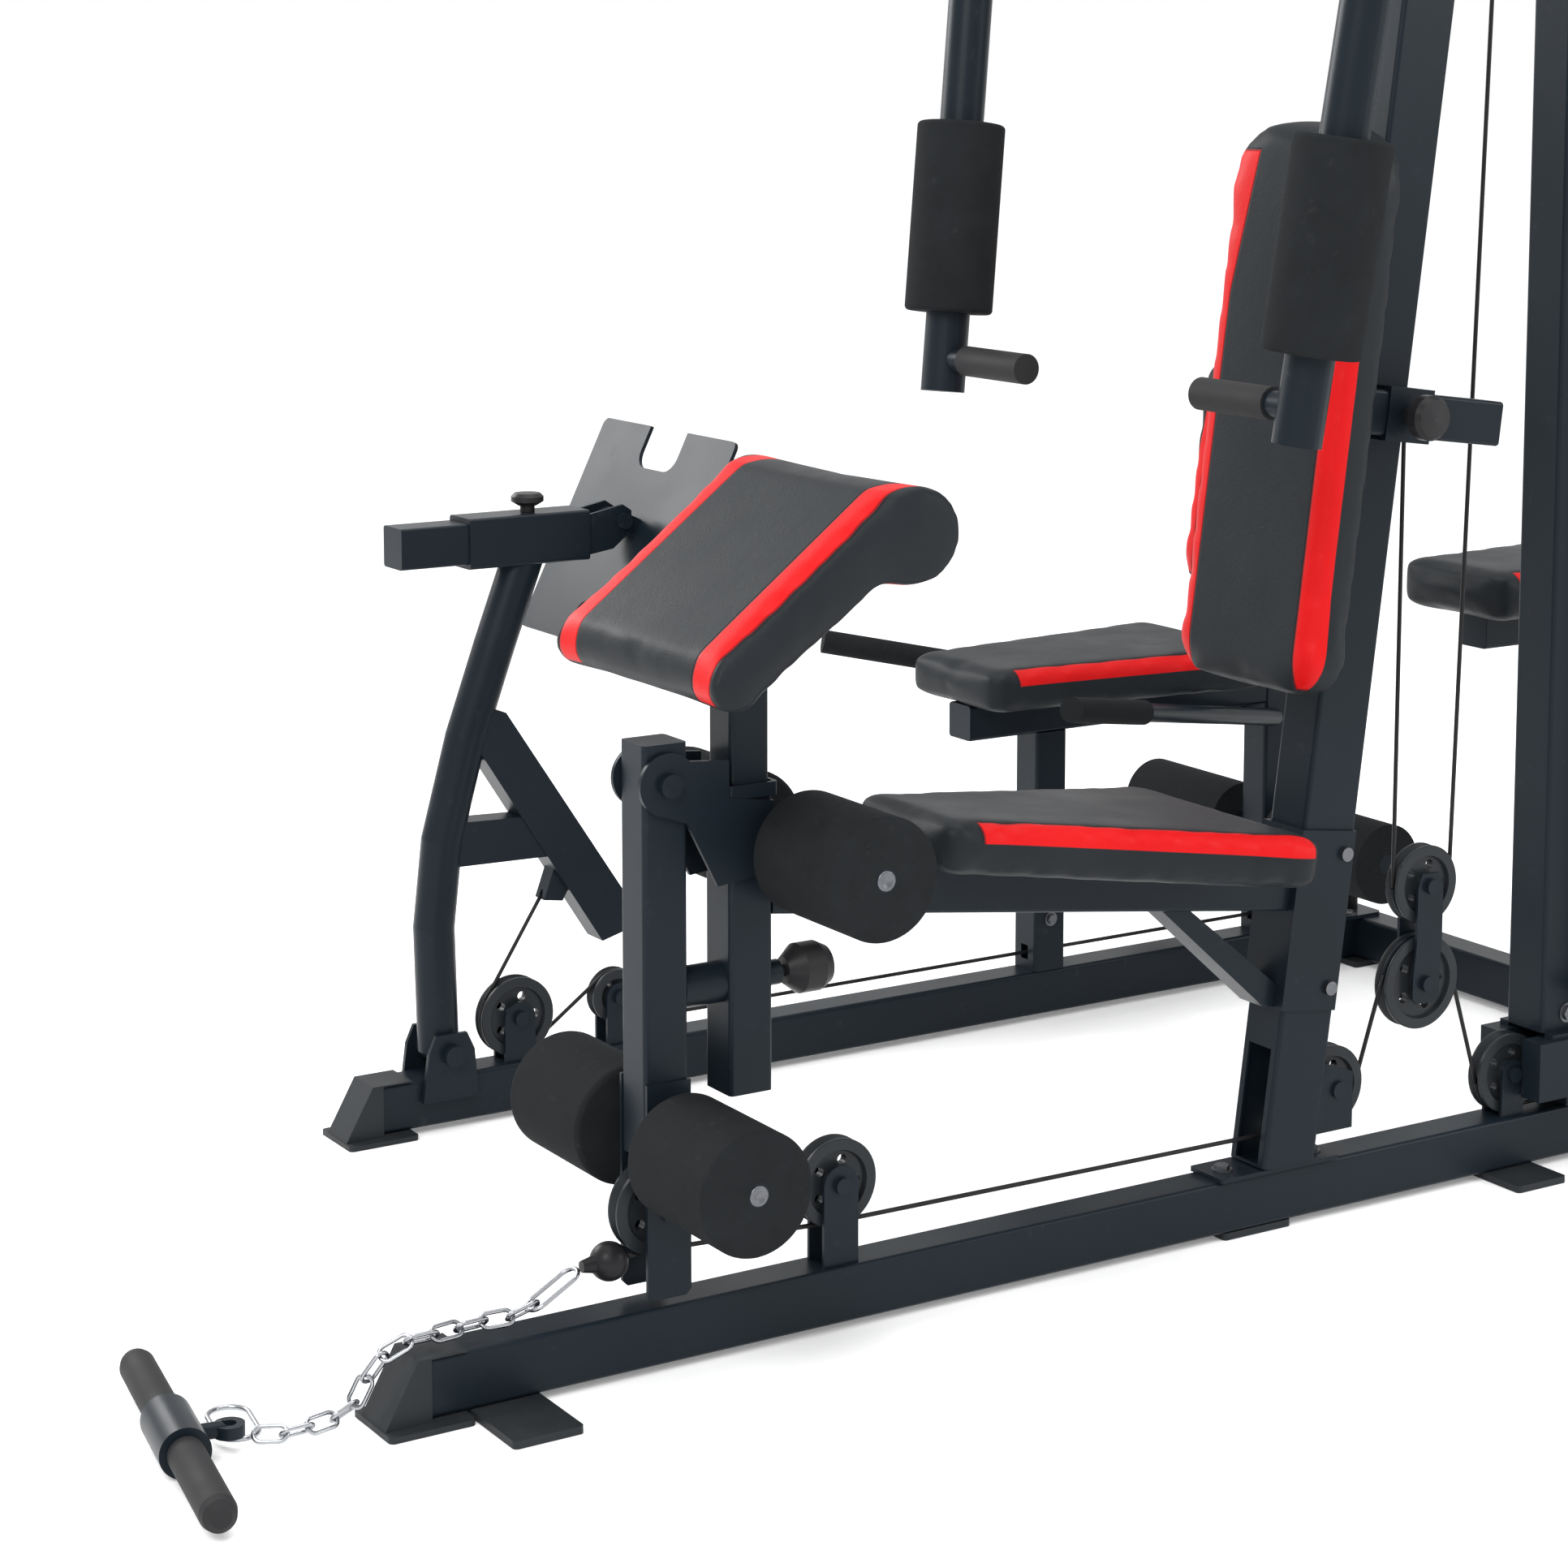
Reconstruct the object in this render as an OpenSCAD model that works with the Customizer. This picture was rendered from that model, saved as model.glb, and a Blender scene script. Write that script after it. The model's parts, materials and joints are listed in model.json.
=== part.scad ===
// Multi station home gym: two floor rails joined at the rear, a leaning main
// upright with press arms, preacher pad and leg developer, a leg press station
// on the far rail, a rear seat station and an enclosed weight stack.
// Axes: +X to the rear, -Y to the near side, +Z up. The origin is on the floor,
// under the front face of the main upright, on the main station's centre plane.

/* [Base] */
// Width of the floor rails
rail_w = 50; // [46:1:54]
// Height of the floor rails
rail_h = 60; // [56:1:62]
// Gap between the floor and the rails
rail_gap = 8; // [6:1:10]
// Front end of the main rail
main_front_x = -1070; // [-1090:5:-1060]
// Rear end of the main rail
main_rear_x = 1360; // [1350:5:1380]
// Distance between the two long rails
far_y = 810; // [800:5:820]
// Front end of the far rail
far_front_x = -745; // [-750:5:-740]
// Front face of the cross rail
cross_x = 850; // [848:1:855]

/* [Main upright] */
// Backward lean of the upright, in degrees
lean = 7.5; // [7.3:0.1:7.7]
// Depth of the upright along X
upright_d = 75; // [74:1:76]
// Width of the upright along Y
upright_w = 60; // [58:1:60]
// Height of the top beam's underside
beam_z = 2035; // [2035:1:2040]

/* [Pads] */
// Thickness of the seat pads
seat_t = 58; // [54:1:60]
// Half width of the main backrest
back_half_w = 126; // [120:1:130]
// Half width of the preacher pad
preacher_half_w = 170; // [165:1:175]

/* [Foam] */
// Outside diameter of the leg rollers
roller_d = 125; // [120:1:127]
// Length of one leg roller
roller_len = 148; // [145:1:149]
// Outside diameter of the arm foam
arm_foam_d = 100; // [96:1:104]

/* [Weight stack] */
// Thickness of one weight plate
plate_t = 25; // [24:0.5:25]
// Number of plates that stay down
resting_plates = 8; // [6:1:8]
// Number of plates that the pin picks up
lifted_plates = 4; // [3:1:4]

/* [Hidden] */
navy = "#1d262d";
nylon = "#202529";
vinyl = "#2b2e31";
foam_black = "#1f2224";
steel = "#c9cdd0";
cable_black = "#17191b";
$fn = 48;

rail_top = rail_gap + rail_h;
wall = 2.5;
cable_d = 5;
axle_r = 5;
axle_bore_r = 5.05;
pulley_w = 24;
groove = 5;
rear_x = 1310;

// pivots and pulley centres, as [x, z] on a station's centre plane
developer_pivot = [-761, 601];
developer_axle = [-761, 234];
upper_axle = [-617, 522];
developer_pulley_at = [-761, 166];
front_pulley_at = [-550, 153];
upright_pulley_at = [114, 147];
rear_pulley_at = [390, 118];
floating_upper_at = [253, 363];
floating_lower_at = [249, 249];
lat_pulley_at = [-455, 1975];
mid_pulley_at = [170, 1975];
tower_pulley_at = [392, 1975];
stack_pulley_at = [627.5, 1975];
press_pivot = [120, 1880];
arm_hub = [0, 200, 1880];
press_arm_pivot = [-606, 96];
press_pulley_at = [-503, 122];
guide_pulley_at = [-362, 128];
foot_pivot = [-358, 736];
stack_x = 670;
stack_base_z = 190;
rod_x = [570, 770];
rod_top = 2008;
pulley_r = 47.5;
press_pulley_r = 50;
lower_pulley_r = 55;
upper_pulley_r = 46;
rear_pulley_r = 47.5;
guide_r = 34;
arm_top = [-100, 362, 1800];
arm_bottom = [-207, 308, 930];
arm_dir = (arm_bottom - arm_top) / norm(arm_bottom - arm_top);
back_post_x = 700;
roller_gap = 51;

// ---------- shared shapes ----------

function unit(v) = v / norm(v);
function side_axis(v) = unit(cross(abs(v.z) < 0.9 ? [0, 0, 1] : [1, 0, 0], v));

// Turns local axes onto the given directions at a place
module place(at, ex, ey, ez) {
    multmatrix([
        [ex.x, ey.x, ez.x, at.x],
        [ex.y, ey.y, ez.y, at.y],
        [ex.z, ey.z, ez.z, at.z],
        [0, 0, 0, 1]
    ]) children();
}

// A rectangle with round corners, centred
module soft_square(x, y, r) {
    square([x - 2 * r, y], center = true);
    square([x, y - 2 * r], center = true);
    for (i = [-1, 1], j = [-1, 1])
        translate([i * (x / 2 - r), j * (y / 2 - r)]) circle(r = r, $fn = 24);
}

// A hollow square tube standing on z = 0
module box_tube(x, y, h, t = wall) {
    difference() {
        linear_extrude(h) soft_square(x, y, 5);
        translate([0, 0, -1]) linear_extrude(h + 2) soft_square(x - 2 * t, y - 2 * t, 3);
    }
}

// A closed bar with round edges standing on z = 0
module box_bar(x, y, h, r = 5) {
    linear_extrude(h) soft_square(x, y, r);
}

// Lays a standing shape along +X: its x becomes height
module lay_x() {
    rotate([0, 90, 0]) children();
}

// Lays a standing shape along +Y: its y becomes height
module lay_y() {
    rotate([-90, 0, 0]) children();
}

// A plate cut to a side outline, from y0 to y1
module side_plate(y0, y1, points) {
    translate([0, y1, 0]) rotate([90, 0, 0]) linear_extrude(y1 - y0) polygon(points);
}

// A round bar along Y through [x, z]
module cross_bar(at, r, y0, y1) {
    translate([at.x, y0, at[1]]) lay_y() cylinder(r = r, h = y1 - y0);
}

// A round bar between two points
module rod(a, b, d) {
    v = unit(b - a);
    e = side_axis(v);
    place(a, e, cross(v, e), v) cylinder(d = d, h = norm(b - a));
}

// A round tube along points, with a rounded elbow at each inner point
module bent_rod(pts, d) {
    for (i = [0:len(pts) - 2]) rod(pts[i], pts[i + 1], d);
    for (i = [1:len(pts) - 2]) translate(pts[i]) sphere(r = d / 2 + 0.1);
}

// Points of a bend at p between the directions from a and to b, trimmed by t
function bend_points(a, p, b, t, steps = 4) = let (
    s = p - unit(p - a) * t,
    e = p + unit(b - p) * t
) [for (i = [0:steps]) let (k = i / steps)
    s * (1 - k) * (1 - k) + p * 2 * k * (1 - k) + e * k * k];

// Works in the frame of the leaning upright: z along it, x = 0 on its front face
module leaning() {
    translate([0, 0, rail_top]) rotate([0, lean, 0]) children();
}

// A grooved cable pulley on a Y axis with round holes in its web
module pulley(at, r, y = 0, holes = 5) {
    hub = pulley_w / 2;
    translate([at.x, y, at[1]]) rotate([90, 0, 0]) difference() {
        rotate_extrude() polygon([
            [axle_bore_r, -hub], [15, -hub], [15, -5], [r - 14, -5], [r - 12, -10],
            [r - 1, -10], [r, -9], [r, -7], [r - groove - 1, -2.5], [r - groove - 1, 2.5],
            [r, 7], [r, 9], [r - 1, 10], [r - 12, 10], [r - 14, 5], [15, 5], [15, hub],
            [axle_bore_r, hub]
        ]);
        for (i = [0:holes - 1]) rotate([0, 0, i * 360 / holes])
            translate([(r + 2) / 2, 0, -6]) cylinder(d = r / 4.4, h = 12);
    }
}

// Two cheeks and a bolt that hold a pulley from a level face
module pulley_fork(at, y, z_face, w = 42, reach = 18) {
    inner = pulley_w / 2 + 0.5;
    low = min(z_face, at[1]);
    for (s = [-1, 1]) difference() {
        union() {
            translate([at.x - w / 2, y + (s > 0 ? inner : -inner - 4), low])
                cube([w, 4, abs(z_face - at[1])]);
            cross_bar(at, w / 2, y + (s > 0 ? inner : -inner - 4), y + (s > 0 ? inner + 4 : -inner));
        }
    }
    cross_bar(at, axle_r, y - inner - 5, y + inner + 5);
    for (s = [-1, 1]) cross_bar(at, reach / 2, y + s * (inner + 7) - 3, y + s * (inner + 7) + 3);
}

// ---------- floor frame ----------

module main_rail() color(navy) {
    start = main_front_x + 47;
    translate([start, 0, rail_gap + rail_h / 2]) lay_x()
        box_tube(rail_h, rail_w, main_rear_x - start);
    pulley_fork(front_pulley_at, 0, rail_top);
    pulley_fork(rear_pulley_at, 0, rail_top, 34);
    translate([28, 0, rail_top]) difference() {
        box_bar(170, 58, 5, 4);
        for (x = [-62, 66]) translate([x, 0, -1]) cylinder(r = 5.5, h = 8);
    }
}

module far_rail() color(navy) translate([0, far_y, 0]) {
    start = far_front_x + 50.2;
    translate([start, 0, rail_gap + rail_h / 2]) lay_x()
        box_tube(rail_h, rail_w, cross_x - start);
    pulley_fork(press_pulley_at, 0, rail_top);
    pulley_fork(guide_pulley_at, 0, rail_top, 36);
    // ears of the leg press pivot
    for (s = [-1, 1]) difference() {
        side_plate(s * 31 - 3, s * 31 + 3, [[-645, 40], [-570, 40], [-575, 100], [-585, 122],
            [-627, 122], [-637, 100]]);
        cross_bar(press_arm_pivot, 8.05, s * 31 - 4, s * 31 + 4);
    }
    for (s = [-1, 1]) translate([-637, s * 26.5 - 1.5, 40]) cube([60, 3, 20]);
    cross_bar(press_arm_pivot, 8, -40, 40);
    for (s = [-1, 1]) cross_bar(press_arm_pivot, 13, s * 40 - 5, s * 40 + 5);
}

module cross_rails() color(navy) {
    near = rail_w / 2;
    translate([cross_x + 25, near, rail_gap + rail_h / 2]) lay_y()
        box_tube(50, rail_h, far_y + 40 - near);
    translate([rear_x + 25, near, rail_gap + rail_h / 2]) lay_y()
        box_tube(50, rail_h, 800);
    // corner gussets
    translate([cross_x - 15, far_y, rail_top]) box_bar(110, 74, 5, 10);
    translate([cross_x - 5, 70, rail_top]) box_bar(90, 80, 5, 10);
    translate([rear_x + 25, 70, rail_top]) box_bar(80, 90, 5, 10);
}

// Slanted shoe that closes the front end of a rail
module rail_shoe(x, y) {
    translate([0, y, 0]) {
        side_plate(-rail_w / 2 - 2, rail_w / 2 + 2, [[x, 6], [x + 36, rail_top + 2],
            [x + 88, rail_top + 2], [x + 88, rail_top + 0.2], [x + 50, rail_top + 0.2],
            [x + 50, rail_gap - 0.2], [x + 88, rail_gap - 0.2], [x + 88, 6]]);
        translate([x + 44, 0, 0]) box_bar(92, 86, 6, 6);
    }
}

module rail_feet() color("#20262b") {
    rail_shoe(main_front_x - 4, 0);
    rail_shoe(far_front_x, far_y);
    translate([-943, 0, 0]) box_bar(76, 230, rail_gap, 5);
    translate([0, 0, 0]) box_bar(96, 48, rail_gap, 5);
    translate([380, 0, 0]) box_bar(76, 160, rail_gap, 5);
    translate([rear_x + 25, 0, 0]) box_bar(76, 180, rail_gap, 5);
    translate([rear_x + 25, 780, 0]) box_bar(76, 90, rail_gap, 5);
    translate([cross_x + 25, far_y, 0]) box_bar(90, 100, rail_gap, 5);
}

// ---------- main station frame ----------

module main_upright() color(navy) difference() {
    union() {
        leaning() translate([upright_d / 2, 0, 7]) box_tube(upright_d, upright_w, 2010, 3);
        // bracket that carries the low pulley behind the upright
        for (s = [-1, 1]) {
            side_plate(s * 22 - 1.9, s * 22 + 1.9, [[83, 100], [135, 100], [135, 165],
                [95, 180], [86, 180]]);
            cross_bar(upright_pulley_at, 10, s > 0 ? 23 : -28, s > 0 ? 28 : -23);
        }
        cross_bar(upright_pulley_at, axle_r, -25, 25);
        for (s = [-1, 1]) translate([76, s > 0 ? 20.1 : -28, 102]) cube([14, 7.9, 76]);
        // lugs of the press frame
        for (s = [-1, 1]) side_plate(s * 26.5 - 2, s * 26.5 + 2, [[120, 1850], [236, 1810],
            [246, 1940], [120, 1910], [98, 1895], [98, 1865]]);
        // backrest sleeve on the near face
        leaning() translate([6, -55, 862]) lay_x() difference() {
            translate([-30, -22.5, 0]) cube([60, 48.5, 64]);
            translate([0, 0, -1]) box_bar(50.6, 40.6, 66, 3);
        }
    }
    translate([-200, -200, beam_z]) cube([900, 400, 200]);
    translate([-100, -200, rail_top - 100]) cube([400, 400, 105]);
    // cable slots through the front and rear walls
    translate([-20, -19, 78]) cube([123, 38, 130]);
    leaning() translate([upright_d - 6, -6, 990]) cube([12, 12, 190]);
    leaning() translate([-6, -6, 1520]) cube([12, 12, 200]);
    cross_bar(press_pivot, 10.05, -40, 40);
}

module seat_beam() color(navy) difference() {
    union() {
        leaning() {
            translate([-720, 0, 323.5]) lay_x() box_tube(50, 50, 715);
            // saddle around the upright
            for (s = [-1, 1]) translate([-5, s * 32.5 - 2, 188]) cube([78, 4, 204]);
            translate([-5, -34.5, 188]) cube([4.6, 69, 204]);
            // brace under the beam
            side_plate(-20, 20, [[-180, 298.8], [-140, 298.8], [-5, 215], [-5, 190],
                [-20, 190]]);
        }
        // tube holder of the upper rollers
        cross_bar(upper_axle, 17, -28, 28);
        translate([upper_axle.x - 14, -20, upper_axle[1] - 26]) cube([28, 40, 16]);
        cross_bar(upper_axle, 12.5, -roller_gap - roller_len, roller_gap + roller_len);
    }
    translate([-1637.9, -40, 200]) cube([1000, 80, 500]);
}

module front_post() color(navy) {
    difference() {
        translate([-663, 0, 272]) box_tube(50, 50, 313, 2.2);
        translate([-660, 0, 386]) lay_x() cylinder(r = 6.2, h = 40);
    }
    // collar around the top
    translate([-663, 0, 577]) box_tube(58, 58, 14, 3.9);
    // cheeks of the leg developer
    for (s = [-1, 1]) difference() {
        union() {
            side_plate(s * 27.5 - 2.5, s * 27.5 + 2.5, [[-775, 573], [-740, 560], [-705, 492],
                [-640, 500], [-640, 572], [-692, 580], [-692, 618], [-735, 622], [-770, 630]]);
            cross_bar(developer_pivot, 32, s * 27.5 - 2.5, s * 27.5 + 2.5);
        }
        cross_bar(developer_pivot, 8.05, s * 27.5 - 3, s * 27.5 + 3);
    }
    cross_bar(developer_pivot, 8, -36, 36);
    for (s = [-1, 1]) cross_bar(developer_pivot, 12, s * 34 - 4, s * 34 + 4);
    // rubber stop and the housing of the height pin
    translate([-735.7, 0, 386]) lay_x() cylinder(r = 21, h = 47.7);
    translate([-638, 0, 386]) lay_x() difference() {
        cylinder(r = 13, h = 20);
        translate([0, 0, -1]) cylinder(r = 6.05, h = 22);
    }
}

// ---------- top beam and tower ----------

module top_beam() color(navy) {
    translate([-500, 0, beam_z + 32.5]) lay_x() box_tube(65, 60, 1450);
    for (x = [-502, 950]) translate([x, 0, beam_z + 32.5]) lay_x() box_bar(64, 59, 2, 5);
    for (at = [lat_pulley_at, mid_pulley_at, tower_pulley_at, stack_pulley_at])
        pulley_fork(at, 0, beam_z, at.x == tower_pulley_at.x ? 20 : 36, 14);
    // hangers that hold the guide rods and let the cable pass above them
    for (x = rod_x) {
        translate([x, 0, rod_top - 10]) difference() {
            cylinder(r = 12, h = 10);
            translate([0, 0, -1]) cylinder(r = 9.55, h = 12);
        }
        for (s = [-1, 1]) side_plate(s * 13 - 2, s * 13 + 2, [[x - 9, rod_top - 9],
            [x + 9, rod_top - 9], [x + 9, beam_z + 1], [x - 9, beam_z + 1]]);
    }
}

module tower_frame() color(navy) {
    for (s = [-1, 1]) translate([400, s * 35 - 15, 90]) cube([545, 30, 70]);
    for (x = [460, 660, 900]) translate([x, -20, 90]) cube([40, 40, 70]);
    for (x = [470, 905]) translate([x, -24, rail_top]) cube([30, 48, 22]);
    translate([530, -62, 160]) cube([280, 124, 5]);
    difference() {
        translate([459, 0, 166]) box_tube(75, 60, beam_z - 166.2, 3);
        translate([400, -22, 1900]) cube([120, 44, 200]);
    }
    for (s = [-1, 1]) translate([425, s * 37 - 7, 160]) cube([80, 14, 6]);
    translate([892, 0, 160]) box_tube(75, 60, beam_z - 160.2, 3);
}

// Covers of the weight stack with rolled edges; the near one has a slot for the pin
module shrouds() color(navy) for (side = [-1, 1]) {
    difference() {
        translate([0, side * 78, 0]) union() {
            translate([508, -1, 172]) cube([340, 2, 1540]);
            for (x = [508, 846]) translate([x, side > 0 ? -22 : 0, 172]) cube([2, 22, 1540]);
        }
        if (side < 0) translate([stack_x - 14, -90, 195]) cube([28, 30, 840]);
    }
    for (z = [205, 1690], x = [480, 848])
        translate([x, side > 0 ? 30.2 : -77.5, z]) cube([28.5, 47.3, 16]);
}

module guide_rods() color(steel) for (x = rod_x)
    translate([x, 0, 165]) cylinder(r = 9.5, h = rod_top - 165.2);

module stack_bumpers() color(foam_black) for (x = rod_x) translate([x, 0, 165.1])
    difference() {
        cylinder(r = 20, h = stack_base_z - 165.4);
        translate([0, 0, -1]) cylinder(r = 9.6, h = 40);
    }

module weight_plate(z) {
    difference() {
        translate([stack_x, 0, z]) linear_extrude(plate_t - 0.4) soft_square(280, 112, 6);
        for (x = rod_x) translate([x, 0, z - 1]) cylinder(r = 9.58, h = plate_t + 2);
        translate([stack_x, 0, z - 1]) cylinder(r = 13, h = plate_t + 2);
        translate([stack_x, -60, z + plate_t / 2]) lay_y() cylinder(r = 5.5, h = 50);
    }
}

module resting_stack() color("#23272a")
    for (i = [0:resting_plates - 1]) weight_plate(stack_base_z + i * plate_t);

module lifted_stack() color("#23272a") {
    z0 = stack_base_z + resting_plates * plate_t;
    for (i = [0:lifted_plates - 1]) weight_plate(z0 + i * plate_t);
    z1 = z0 + lifted_plates * plate_t;
    difference() {
        translate([stack_x, 0, z1]) linear_extrude(34) soft_square(280, 96, 10);
        for (x = rod_x) translate([x, 0, z1 - 1]) cylinder(r = 9.58, h = 40);
    }
    difference() {
        translate([stack_x, 0, stack_base_z + 6]) cylinder(r = 12, h = z1 - stack_base_z - 6.2);
        for (i = [0:resting_plates + lifted_plates - 1])
            translate([stack_x, -60, stack_base_z + (i + 0.5) * plate_t]) lay_y()
                cylinder(r = 5.3, h = 60);
    }
    translate([stack_x, 0, z1 + 34]) cylinder(r = 14, h = 30);
    translate([stack_x, 0, z1 + 64]) cylinder(r1 = 9, r2 = 6, h = 26);
}

module selector_pin() color(steel) {
    z = stack_base_z + (resting_plates + 0.5) * plate_t;
    translate([stack_x, -86, z]) lay_y() cylinder(r = 5, h = 76);
    color("#b5232a") translate([stack_x, -112, z]) lay_y() cylinder(r = 11, h = 25.8);
}

// ---------- main station pads ----------

// A seat pad that narrows to its front, with its rear edge at x = 0
module seat_slab(length, front_half, rear_half, t) {
    r = 22;
    linear_extrude(t) hull() for (s = [-1, 1]) {
        translate([-r, s * (rear_half - r)]) circle(r = r, $fn = 32);
        translate([-length + r, s * (front_half - r)]) circle(r = r, $fn = 32);
    }
}

module main_seat_pad() color(vinyl) leaning()
    translate([-72, 0, 349.2]) seat_slab(462, 99, 172, seat_t);

module backrest_pad() color(vinyl) leaning() {
    translate([-68, 0, 859]) rotate([0, 90, 0]) translate([0, 0, -30])
        linear_extrude(60) soft_square(636, 2 * back_half_w, 60);
}

module backrest_slide() color(navy) leaning() {
    translate([-37.8, -90, 780]) cube([5, 150, 190]);
    translate([-32.8, -55, 862]) lay_x() difference() {
        box_bar(50, 40, 208, 4);
        translate([0, 0, -1]) box_bar(44, 34, 210, 2);
    }
    translate([173, -55, 862]) lay_x() box_bar(49, 39, 4, 4);
}

module backrest_knob() color(foam_black) leaning() {
    translate([38, -77.7, 862]) rotate([90, 0, 0]) {
        cylinder(r = 11, h = 14);
        translate([0, 0, 14]) rotate_extrude() polygon([[0, 0], [13, 0], [25, 8], [25, 20],
            [21, 26], [0, 28]]);
    }
}

module preacher_post() color(navy) {
    translate([-663, 0, 330]) box_tube(45, 45, 398, 3);
    // cranked plate under the pad
    side_plate(-60, 60, [[-735, 696.3], [-731, 691.5], [-618, 778.2], [-622, 783]]);
    for (s = [-1, 1]) side_plate(s * 23.8 - 1.2, s * 23.8 + 1.2,
        [[-686, 700], [-640, 700], [-640, 754], [-686, 719]]);
}

module preacher_pad() color(vinyl) {
    top = [-585, 893];
    roll = 54;
    slope = atan2(893 - 728, 800 - 585);
    translate([top.x, 0, top[1]]) rotate([0, -slope, 0]) {
        rotate([-90, 0, 0]) translate([0, 0, -preacher_half_w])
            linear_extrude(2 * preacher_half_w) {
                translate([-248, 0]) square([248, 64]);
                translate([-248, 32]) circle(r = 32);
                translate([0, roll]) circle(r = roll);
            }
    }
}

module preacher_knob() color(foam_black) translate([-617, 0, 386]) lay_x() {
    translate([0, 0, -20]) color(steel) cylinder(r = 6, h = 36);
    rotate_extrude() polygon([[6, 6], [14, 6], [26, 22], [26, 44], [20, 56], [0, 60],
        [0, 16], [6, 16]]);
}

// ---------- leg developer ----------

module leg_developer() color(navy) {
    x = developer_pivot.x;
    difference() {
        union() {
            translate([x, 0, 222]) box_tube(50, 48, 415, 3);
            translate([x, 0, 637]) box_bar(50, 48, 4, 5);
            cross_bar(developer_pivot, 14, -24, 24);
        }
        cross_bar(developer_pivot, 8.05, -40, 40);
    }
    for (s = [-1, 1]) {
        side_plate(s * 26 - 2, s * 26 + 2, [[x - 25, 300], [x - 25, 84], [x - 19, 78],
            [x + 19, 78], [x + 25, 84], [x + 25, 300]]);
        cross_bar(developer_pulley_at, 8, s > 0 ? 12.6 : -25, s > 0 ? 25 : -12.6);
        cross_bar(developer_pulley_at, 9, s * 30 - 3, s * 30 + 3);
    }
    cross_bar(developer_axle, 12.5, -roller_gap - roller_len, roller_gap + roller_len);
    cross_bar(developer_pulley_at, axle_r, -26, 26);
}

module roller_pair(at) {
    for (s = [-1, 1]) difference() {
        union() {
            cross_bar(at, roller_d / 2, s > 0 ? roller_gap + 6 : -roller_gap - roller_len + 6,
                s > 0 ? roller_gap + roller_len - 6 : -roller_gap - 6);
            cross_bar(at, roller_d / 2 - 6, s > 0 ? roller_gap : -roller_gap - roller_len,
                s > 0 ? roller_gap + roller_len : -roller_gap);
            for (y = [6, roller_len - 6]) translate([at.x, s * (roller_gap + y), at[1]])
                rotate([90, 0, 0]) rotate_extrude() translate([roller_d / 2 - 6, 0])
                    circle(r = 6, $fn = 24);
        }
        cross_bar(at, 12.58, -300, 300);
    }
}

module upper_rollers() color(foam_black) roller_pair(upper_axle);

module lower_rollers() color(foam_black) roller_pair(developer_axle);

// ---------- press frame, arms and high bar ----------

module press_frame() color(navy) {
    x = press_pivot.x;
    z = press_pivot[1];
    difference() {
        union() {
            cross_bar(press_pivot, 19, -23.6, 23.6);
            translate([24, -22, z - 22]) cube([x - 24, 44, 44]);
        }
        cross_bar(press_pivot, 10.05, -50, 50);
        translate([x - 10, -50, z + 40]) cube([20, 100, 20]);
    }
    translate([0, -168, z]) lay_y() box_tube(50, 46, 336);
    for (s = [-1, 1]) translate([0, s * arm_hub.y, z]) {
        for (j = [-1, 1]) translate([0, 0, j * 36 - 4]) cylinder(r = 27, h = 8);
        for (j = [-1, 1]) translate([-23, s > 0 ? -38 : 10, j * 36 - 4]) cube([46, 28, 8]);
        translate([-23, s > 0 ? -38 : 32, -36]) cube([46, 6, 72]);
        translate([0, 0, -48]) cylinder(r = 9.95, h = 96);
    }
}

// The far arm: hinge barrel, bent tube and grip
module butterfly_arm() {
    out = [arm_hub.x - 34, arm_hub.y + 66, arm_hub.z - 6];
    difference() {
        union() {
            translate(arm_hub - [0, 0, 31.6]) cylinder(r = 24, h = 63.2);
            bent_rod(concat([arm_hub + (out - arm_hub) * 0.2],
                bend_points(arm_hub, out, arm_top, 20, 2),
                bend_points(out, arm_top, arm_bottom, 70), [arm_bottom]), 50);
        }
        translate(arm_hub - [0, 0, 60]) cylinder(r = 10, h = 120);
    }
    grip_at = arm_bottom - arm_dir * 38;
    rod(grip_at + [0, -15, 0], grip_at + [0, -60, 0], 28);
    rod(grip_at + [0, -44, 0], grip_at + [0, -158, 0], 34);
}

module near_arm() color(navy) mirror([0, 1, 0]) butterfly_arm();

module far_arm() color(navy) butterfly_arm();

module arm_foam(s) {
    d = [arm_dir.x, s * arm_dir.y, arm_dir.z];
    bottom = [arm_bottom.x, s * arm_bottom.y, arm_bottom.z];
    e = side_axis(d);
    place(bottom - d * 305, e, cross(d, e), d) difference() {
        union() {
            translate([0, 0, 5]) cylinder(d = arm_foam_d, h = 205);
            cylinder(d = arm_foam_d - 10, h = 215);
            for (z = [5, 210]) translate([0, 0, z]) rotate_extrude()
                translate([arm_foam_d / 2 - 5, 0]) circle(r = 5, $fn = 24);
        }
        translate([0, 0, -1]) cylinder(r = 25.05, h = 220);
    }
}

module near_arm_foam() color(foam_black) arm_foam(-1);

module far_arm_foam() color(foam_black) arm_foam(1);

// Bent bar with rubber ends, a hub in the middle and a ring for the hook
module lat_bar() color(steel) {
    x = -497.5;
    for (s = [-1, 1]) {
        rod([x, 0, 1770], [x, s * 400, 1770], 26);
        rod([x, s * 400, 1770], [x, s * 560, 1700], 26);
        translate([x, s * 400, 1770]) sphere(r = 13.2);
        rod([x, s * 440, 1752.5], [x, s * 566, 1697.4], 34);
    }
    translate([x, -24, 1770]) lay_y() cylinder(r = 20, h = 48);
    translate([x, 0, 1780]) cylinder(r = 9, h = 50);
    translate([x, 0, 1842]) rotate([90, 0, 0]) rotate_extrude() translate([18, 0])
        circle(r = 4);
}

// ---------- pulleys ----------

module lat_pulley() color(nylon) pulley(lat_pulley_at, pulley_r);

module mid_pulley() color(nylon) pulley(mid_pulley_at, pulley_r);

module tower_pulley() color(nylon) pulley(tower_pulley_at, pulley_r);

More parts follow.
